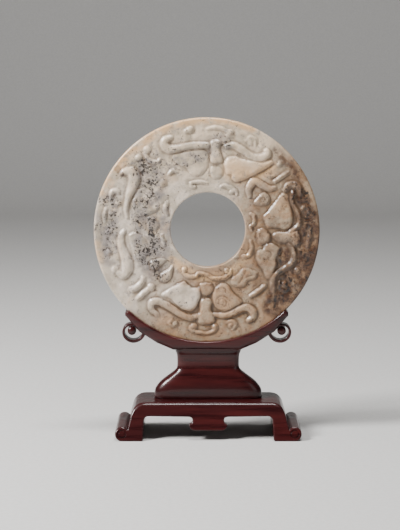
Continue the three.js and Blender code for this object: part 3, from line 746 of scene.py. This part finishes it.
def volute_eye(x, z):
    """The ball in the middle of a scroll, domed at both ends."""
    radius, deep, dome = VOLUTE_EYE["radius"], VOLUTE_EYE["depth"] / 2, VOLUTE_EYE["dome"]
    turns = np.radians(VOLUTE_EYE["turns"])
    end = [(radius * math.cos(a), deep - dome + dome * math.sin(a)) for a in turns]
    eye = turned("eye", both_halves(end), VOLUTE_EYE["around"])
    eye.location = (x * MM, 0, z * MM)
    return placed(eye)


def volute(side):
    """A scroll under an arm: a band that winds in to a round eye."""
    t = np.linspace(0, 1, VOLUTE["steps"] + 1)
    turn = np.radians(VOLUTE["first"] - VOLUTE["sweep"] * t)
    radius = VOLUTE["start"] + (VOLUTE["end"] - VOLUTE["start"]) * t ** VOLUTE["tighten"]
    half = VOLUTE["half"] * (1 - VOLUTE["thinning"] * t)
    outer, inner = (np.column_stack([-side * reach * np.cos(turn), reach * np.sin(turn)])
                    for reach in (radius + half, radius - half))
    outline = np.vstack([outer, inner[::-1]])
    middle = np.array([side * VOLUTE["x"], DISC_Z - VOLUTE["below"]])
    deep = VOLUTE["depth"] / 2
    band = prism("volute", outline + middle, deep, VOLUTE["round"], VOLUTE["round_steps"])
    return combined(band, volute_eye(*middle), "UNION")


def neck():
    """The waisted neck and its bell foot."""
    around = NECK_MESH["around"]
    turn = (np.arange(around) + 0.5) / around * 2 * math.pi
    c, s = np.cos(turn), np.sin(turn)
    rings = []
    for z, across, deep in smooth_path(NECK, NECK_MESH["steps"]):
        x = STAND_X + across * np.sign(c) * np.abs(c) ** NECK_POWERS[0]
        y = deep * np.sign(s) * np.abs(s) ** NECK_POWERS[1]
        rings.append(np.column_stack([x, y, np.full(len(turn), z)]))
    return lofted("neck", rings)


def groove_tool():
    """The space that the disc's edge takes up, flared a little at the mouth of the groove."""
    wall = GROUND / 2 + FIT_GAP
    bottom = DISC_RADIUS + FIT_GAP
    lip = DISC_RADIUS - CRADLE["lip"]
    side = [(GROOVE_MESH["hub"], wall + GROOVE_MOUTH[0][1])]
    side += [(lip + out, wall + wide) for out, wide in GROOVE_MOUTH]
    side += [(bottom + out, wall + wide) for out, wide in GROOVE_CORNER]
    tool = turned("groove_tool", both_halves(side), GROOVE_MESH["around"])
    tool.location = (0, 0, DISC_Z * MM)
    return placed(tool)


def cradle():
    made = arms()
    for side in (-1, 1):
        made = combined(made, volute(side), "UNION")
    made = combined(made, neck(), "UNION")
    return polished(combined(made, groove_tool(), "DIFFERENCE"))


def base_half_outline():
    """Right half of the base seen from the front, from the end of its flat top to its tab."""
    leg, high, corner = BASE["leg"], BASE["arch"], BASE["arch_corner"]
    heel = leg + BASE_HEEL["bend"]
    roll = (BASE["roll_x"], BASE["roll"])
    points = [[(BASE["flat"], BASE["top"])]]

    def follow(curves, steps):
        for control, end in curves:
            points.append(quad_curve(points[-1][-1], control, end, steps))

    follow(BASE_SHOULDER, BASE_STEPS["shoulder"])
    points.append(arc(roll, BASE["roll"], *BASE["roll_turn"], BASE_STEPS["roll"]))
    points.append([(leg + BASE_HEEL["out"], 0)])
    follow([((heel, 0), (heel, BASE_HEEL["high"]))], BASE_STEPS["heel"])
    points.append([(leg, high - corner)])
    follow([((leg, high), (leg - corner, high))], BASE_STEPS["arch"])
    points.append([TAB_ROOT])
    follow(BASE_TAB, BASE_STEPS["tab"])
    return np.vstack(points)


def half_depth_at(z):
    return BASE["foot_depth"] + (BASE["top_depth"] - BASE["foot_depth"]) * z / BASE["top"]


def eye_ring(side, end):
    """The ring round the eye of a scroll foot, square to the sloping end of its roll."""
    inner, outer, clear = EYE_RING["inner"], EYE_RING["outer"], end * EYE_RING["clear"]
    middle, half = (inner + outer) / 2, (outer - inner) / 2
    turns = np.radians(np.linspace(0, 180, EYE_RING["steps"] + 1))
    hollow = [(middle - half * math.cos(a), -end * EYE_RING["sunk"] * math.sin(a)) for a in turns]
    profile = hollow + [(outer, clear), (inner, clear)]
    ring = turned_ring("eye_ring", profile, EYE_RING["around"])
    slope = math.atan2(BASE["foot_depth"] - BASE["top_depth"], BASE["top"])
    ring.rotation_euler = (end * slope, 0, 0)
    place = (STAND_X + side * BASE["roll_x"], end * half_depth_at(BASE["roll"]), BASE["roll"])
    ring.location = Vector(place) * MM
    return placed(ring)


def base_rounding(outline):
    """How round the base's edges are along its outline: more at the top, less at the tab."""
    above = outline[:, 1] - BASE["arch"] - BASE["round_from"]
    share = np.clip(above / (BASE["top"] - BASE["arch"] - BASE["round_short"]), 0, 1)
    rounding = BASE["round"] + share * (BASE["top_round"] - BASE["round"])
    tab = (abs(outline[:, 0]) < TAB_ROOT[0] + 1) & (outline[:, 1] < BASE["arch"])
    rounding[tab] = BASE["tab_round"]
    return rounding


def scroll_base():
    right = base_half_outline()
    left = (right * (-1, 1))[::-1]
    outline = np.vstack([right, left])[::-1]
    made = prism("base_fine", outline + (STAND_X, 0), half_depth_at, base_rounding(outline))
    for side in (-1, 1):
        for end in (-1, 1):
            made = combined(made, eye_ring(side, end), "DIFFERENCE")
    long, deep = BASE["pocket"]
    pocket_low = (STAND_X - long, -deep, BASE["pocket_low"])
    pocket_high = (STAND_X + long, deep, BASE["top"] - BASE["slab"])
    return polished(combined(made, block("pocket", pocket_low, pocket_high), "DIFFERENCE"))


# ---- materials

PALE = (0.66, 0.56, 0.46, 1)
CREAM = (0.7, 0.54, 0.38, 1)
ORANGE = (0.66, 0.4, 0.19, 1)
OLIVE = (0.36, 0.3, 0.215, 1)
GREY = (0.215, 0.188, 0.175, 1)
TAN = (0.33, 0.2, 0.112, 1)
RUSSET = (0.052, 0.022, 0.012, 1)
UMBER = (0.2, 0.108, 0.056, 1)
BLACK = (0.016, 0.011, 0.009, 1)
# Soil, and painted shade, in the hollows of the relief.
SOIL_AND_SHADE = (0.105, 0.06, 0.032, 1)
WOOD_DARK = (0.011, 0.002, 0.0026, 1)
WOOD_RED = (0.05, 0.0062, 0.006, 1)
PAPER_DARK = (0.52, 0.51, 0.495, 1)
PAPER_LIGHT = (0.56, 0.55, 0.535, 1)

# Noises: waves per metre, detail and roughness.
NOISES = {
    "cloud": (110, 4, 0.55), "olive": (85, 5, 0.6), "glow": (60, 4, 0.6), "skin_and_rim_light": (90, 4, 0.55),
    "mottle": (190, 5, 0.66), "vein": (260, 6, 0.7), "cluster": (150, 4, 0.55),
    "halo": (330, 4, 0.6), "speck": (640, 5, 0.62), "stone_grain": (900, 3, 0.55),
    "gloss": (160, 4, 0.55), "streak": (1, 6, 0.62), "broad": (1, 3, 0.55), "pore": (1, 2, 0.55),
    "tooth": (300, 4, 0.55),
}
# The disc is pale at its upper left and brown at its lower right, which this way points to.
TO_BROWN = (0.75, 0, -0.66)
MIDDLE = TO_BROWN[2] * DISC_Z * MM
# What a value is made into: the stretch of it that counts, and the result at its two ends.
RANGES = {
    "across": (MIDDLE - 0.018, MIDDLE + 0.03, 0, 1), "beside_pale": (0.1, 0.8, 1, 0.1),
    "cream": ((DISC_Z + 15) * MM, (DISC_Z + 60) * MM, 0, 0.8), "cloud": (0.28, 0.58, 0, 1),
    "cloudy": (0, 0.8, 0.08, 0.88), "olive": (0.42, 0.64, 0, 0.6), "glow": (0.52, 0.7, 0, 0.22),
    "skin_and_rim_light": (0.3, 0.55, 0, 0.85), "mottle": (0.35, 0.57, 0.34, 1), "rust": (0.03, 0.5, 0, 0.97),
    "black_vein": (0.66, 0.9, 0, 1), "vein_mottle": (0.1, 0.5, 0, 1), "worn_and_lit": (0.45, 1, 0, 0.14),
    "vein": (0.44, 0.66, 0, 0.6), "vein_side": (0, 1, 0.18, 1), "cluster": (0.35, 0.65, -0.08, 0.07),
    "halo": (0.56, 0.74, 0, 0.7), "speck": (0.65, 0.74, 0, 0.94), "soil_and_shade": (0.02, 0.2, 0, 1),
    "soil_and_shade_side": (0, 0.7, 0.5, 0.92), "gloss": (0.3, 0.7, 0.26, 0.42), "streak": (0.22, 0.66, 0, 1),
    "broad": (0.35, 0.65, 0, 1), "red": (0, 1, 0.5, 1), "wood_rough": (0, 1, 0.22, 0.34),
    "tooth": (0.3, 0.7, 0, 1),
}
WANDER = {"Scale": 30, "Detail": 4}  # the slow noise that moves borders between colours
WANDER_REACH = 0.05
SPECK_SHARE = 0.15  # how much the speckle layer adds to the noise that makes specks
# The stretch of the grain along the wood, across it and down it.
LONG_GRAIN = (16, 150, 260)
BROAD_GRAIN = (7, 30, 44)
PORE_GRAIN = (70, 900, 1200)
JADE_SHEEN = {"Coat Weight": 0.15, "Coat Roughness": 0.2, "Subsurface Weight": 0.1,
              "Subsurface Radius": (0.004, 0.003, 0.002), "Subsurface Scale": 0.5}
WOOD_SHEEN = {"Specular IOR Level": 0.22, "Coat Weight": 0.32, "Coat Roughness": 0.1}
JADE_BUMP = {"Strength": 0.25, "Distance": 0.0002}
WOOD_BUMP = {"Strength": 0.1, "Distance": 0.0001}
PAPER_ROUGHNESS = 0.8


def node(near, kind, inputs=(), **settings):
    """Adds a shader node beside a socket. An input is a value, or the socket that feeds it."""
    tree = near.id_data
    made = tree.nodes.new("ShaderNode" + kind)
    for key, value in settings.items():
        setattr(made, key, value)
    for key, value in dict(inputs).items():
        if isinstance(value, bpy.types.NodeSocket):
            tree.links.new(value, made.inputs[key])
        else:
            made.inputs[key].default_value = value
    return made


def product(first, second):
    return node(first, "Math", {0: first, 1: second}, operation="MULTIPLY").outputs[0]


def added(first, second):
    return node(first, "Math", {0: first, 1: second}, operation="ADD").outputs[0]


def mixed(factor, first, second):
    """The first colour, changed to the second as far as the factor says."""
    return node(factor, "Mix", {0: factor, 6: first, 7: second}, data_type="RGBA").outputs[2]


def ranged(value, name):
    settings = dict(zip(("From Min", "From Max", "To Min", "To Max"), RANGES[name]), Value=value)
    return node(value, "MapRange", settings, interpolation_type="SMOOTHSTEP").outputs[0]


def noise(where, name):
    settings = dict(zip(("Scale", "Detail", "Roughness"), NOISES[name]), Vector=where)
    return node(where, "TexNoise", settings).outputs["Fac"]


def pattern(where, name):
    """A noise, and the range of the same name that it is made into."""
    return ranged(noise(where, name), name)


def scaled(where, scale):
    return node(where, "Mapping", {"Vector": where, "Scale": scale}).outputs[0]


def layer_of(near, name):
    """The values that the mesh carries under a name."""
    return node(near, "Attribute", attribute_name=name).outputs["Fac"]


def new_material(name):
    """A material, its shader, and the places on the object."""
    made = bpy.data.materials.new(name)
    made.use_nodes = True
    shader = made.node_tree.nodes["Principled BSDF"]
    return made, shader, node(shader.outputs[0], "TexCoord").outputs["Object"]


def finish_shader(shader, sockets, settings):
    """Feeds a shader's inputs from sockets, and sets others."""
    for key, socket in sockets.items():
        socket.id_data.links.new(socket, shader.inputs[key])
    for key, value in settings.items():
        shader.inputs[key].default_value = value


def loosened(where):
    """Places moved about by a slow noise, so that a border between colours wanders."""
    wander = node(where, "TexNoise", {"Vector": where, **WANDER}).outputs["Color"]
    shift = node(where, "VectorMath", {0: wander, 1: (0.5, 0.5, 0.5)}, operation="SUBTRACT").outputs[0]
    shift = node(where, "VectorMath", {0: shift, "Scale": WANDER_REACH}, operation="SCALE").outputs[0]
    return node(where, "VectorMath", {0: where, 1: shift}, operation="ADD").outputs[0]


def brownness(loose):
    """How far each place belongs to the brown side, from 0 to 1."""
    slope = node(loose, "VectorMath", {0: loose, 1: TO_BROWN}, operation="DOT_PRODUCT")
    side = ranged(slope.outputs["Value"], "across")
    return product(side, ranged(layer_of(loose, "pale"), "beside_pale"))


def stone_colour(where, loose, brown):
    """The broad colours: pale and cream, grey clouds, tan, olive patches and orange skin, which along the
    upper rim is also a painted rim highlight.
    """
    height = node(loose, "SeparateXYZ", {0: loose}).outputs["Z"]
    colour = mixed(ranged(height, "cream"), PALE, CREAM)
    cloud = product(pattern(where, "cloud"), ranged(layer_of(where, "speckle"), "cloudy"))
    colour = mixed(cloud, colour, GREY)
    colour = mixed(brown, colour, TAN)
    colour = mixed(pattern(loose, "olive"), colour, OLIVE)
    colour = mixed(pattern(loose, "glow"), colour, ORANGE)
    # Orange skin, and along the upper rim a painted rim highlight.
    skin_and_rim_light = product(layer_of(where, "warm"), pattern(where, "skin_and_rim_light"))
    return mixed(skin_and_rim_light, colour, ORANGE)


def stained(where, colour):
    """Adds the brown stains, and the black vein where a stain is strongest."""
    mottle = pattern(where, "mottle")
    stain = layer_of(where, "stain")
    colour = mixed(product(ranged(stain, "rust"), mottle), colour, RUSSET)
    return mixed(product(ranged(stain, "black_vein"), ranged(mottle, "vein_mottle")), colour, BLACK)


def speckled(where, colour, brown):
    """Adds specks with a blurred halo, close together where the speckle layer is strong."""
    likely = added(pattern(where, "cluster"), product(layer_of(where, "speckle"), SPECK_SHARE))
    halo = ranged(added(noise(where, "halo"), likely), "halo")
    colour = mixed(halo, colour, mixed(brown, GREY, RUSSET))
    return mixed(ranged(added(noise(where, "speck"), likely), "speck"), colour, BLACK)


def jade_material():
    made, shader, where = new_material("celadon_jade")
    loose = loosened(where)
    brown = brownness(loose)
    colour = stained(where, stone_colour(where, loose, brown))
    # Raised figures are lighter: wear, and a painted highlight on the tops of the relief.
    colour = mixed(ranged(layer_of(where, "height"), "worn_and_lit"), colour, CREAM)
    colour = mixed(product(pattern(where, "vein"), ranged(brown, "vein_side")), colour, UMBER)
    colour = speckled(where, colour, brown)
    # Darker and browner in the hollows, mostly on the brown side: soil, and painted shade where shade
    # falls in the recesses.
    soil_and_shade = product(ranged(layer_of(where, "hollow"), "soil_and_shade"), ranged(brown, "soil_and_shade_side"))
    colour = mixed(soil_and_shade, colour, SOIL_AND_SHADE)
    bump = node(where, "Bump", {"Height": noise(where, "stone_grain"), **JADE_BUMP}).outputs[0]
    sockets = {"Base Color": colour, "Roughness": pattern(where, "gloss"), "Normal": bump}
    finish_shader(shader, sockets, JADE_SHEEN)
    return made


def wood_material():
    made, shader, where = new_material("rosewood")
    streak = pattern(scaled(where, LONG_GRAIN), "streak")
    broad = pattern(scaled(where, BROAD_GRAIN), "broad")
    colour = mixed(product(streak, ranged(broad, "red")), WOOD_DARK, WOOD_RED)
    pores = noise(scaled(where, PORE_GRAIN), "pore")
    bump = node(where, "Bump", {"Height": pores, **WOOD_BUMP}).outputs[0]
    sockets = {"Base Color": colour, "Roughness": ranged(streak, "wood_rough"), "Normal": bump}
    finish_shader(shader, sockets, WOOD_SHEEN)
    return made


def paper_material():
    made, shader, where = new_material("floor_paper")
    paper = mixed(pattern(where, "tooth"), PAPER_DARK, PAPER_LIGHT)
    finish_shader(shader, {"Base Color": paper}, {"Roughness": PAPER_ROUGHNESS})
    return made


# ---- studio

CAMERA = {"lens": 168, "sensor_width": 36, "sensor_fit": "HORIZONTAL", "clip_start": 0.05}
CAMERA_PLACE = (-0.0051, -1.4, 0.2991)
CAMERA_PITCH = 6.94
AIM = (0, 0, 0.12)
# Each lamp's place and size in metres, and its watts.
LAMPS = {
    "key": ((-1, -0.5, 0.95), (0.36, 0.36), 43),
    "top": ((0.1, -0.25, 1.5), (0.6, 0.25), 21),
    "fill": ((1.2, -1.1, 0.5), (0.7, 0.9), 2),
}
SKY = {"Color": (0.5, 0.5, 0.5, 1), "Strength": 0.17}
COVE = {"front": -2500, "start": 1750, "radius": 600, "top": 3000, "half_width": 3000, "steps": 12}


def camera():
    data = bpy.data.cameras.new("camera")
    for key, value in CAMERA.items():
        setattr(data, key, value)
    seen = bpy.data.objects.new("camera", data)
    seen.location = CAMERA_PLACE
    seen.rotation_euler = (math.radians(90 - CAMERA_PITCH), 0, 0)
    bpy.context.collection.objects.link(seen)
    bpy.context.scene.camera = seen


def softbox(name, place, size, watts):
    data = bpy.data.lights.new(name, "AREA")
    data.shape = "RECTANGLE"
    data.size, data.size_y = size
    data.energy = watts
    lamp = bpy.data.objects.new(name, data)
    lamp.location = place
    lamp.rotation_euler = (Vector(AIM) - Vector(place)).to_track_quat("-Z", "Y").to_euler()
    bpy.context.collection.objects.link(lamp)


def floor():
    """A pale paper floor that curves up into a backdrop."""
    cove = arc((COVE["start"], COVE["radius"]), COVE["radius"], -90, 0, COVE["steps"])
    profile = [(COVE["front"], 0), *cove, (cove[-1][0], COVE["top"])]
    wide = COVE["half_width"]
    verts = [(x, y, z) for y, z in profile for x in (-wide, wide)]
    faces = [(2 * i, 2 * i + 1, 2 * i + 3, 2 * i + 2) for i in range(len(profile) - 1)]
    ground = mesh_object("floor", verts, faces)
    ground.data.shade_smooth()
    ground.data.materials.append(paper_material())


def studio():
    camera()
    floor()
    for name, settings in LAMPS.items():
        softbox(name, *settings)
    world = bpy.data.worlds.new("studio")
    world.use_nodes = True
    sky = world.node_tree.nodes["Background"]
    for key, value in SKY.items():
        sky.inputs[key].default_value = value
    bpy.context.scene.world = world


# ---- the whole

def take_place(made, name, node_name, material):
    """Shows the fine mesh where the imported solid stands."""
    made.name = name
    made.data.name = name
    made.data.materials.clear()
    made.data.materials.append(material)
    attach(made, "root")
    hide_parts(node_name)


jade = jade_material()
wood = wood_material()
take_place(jade_disc(), "jade_bi", "jade_disc", jade)
take_place(cradle(), "cradle_carved", "cradle", wood)
take_place(scroll_base(), "base_carved", "scroll_base", wood)
studio()
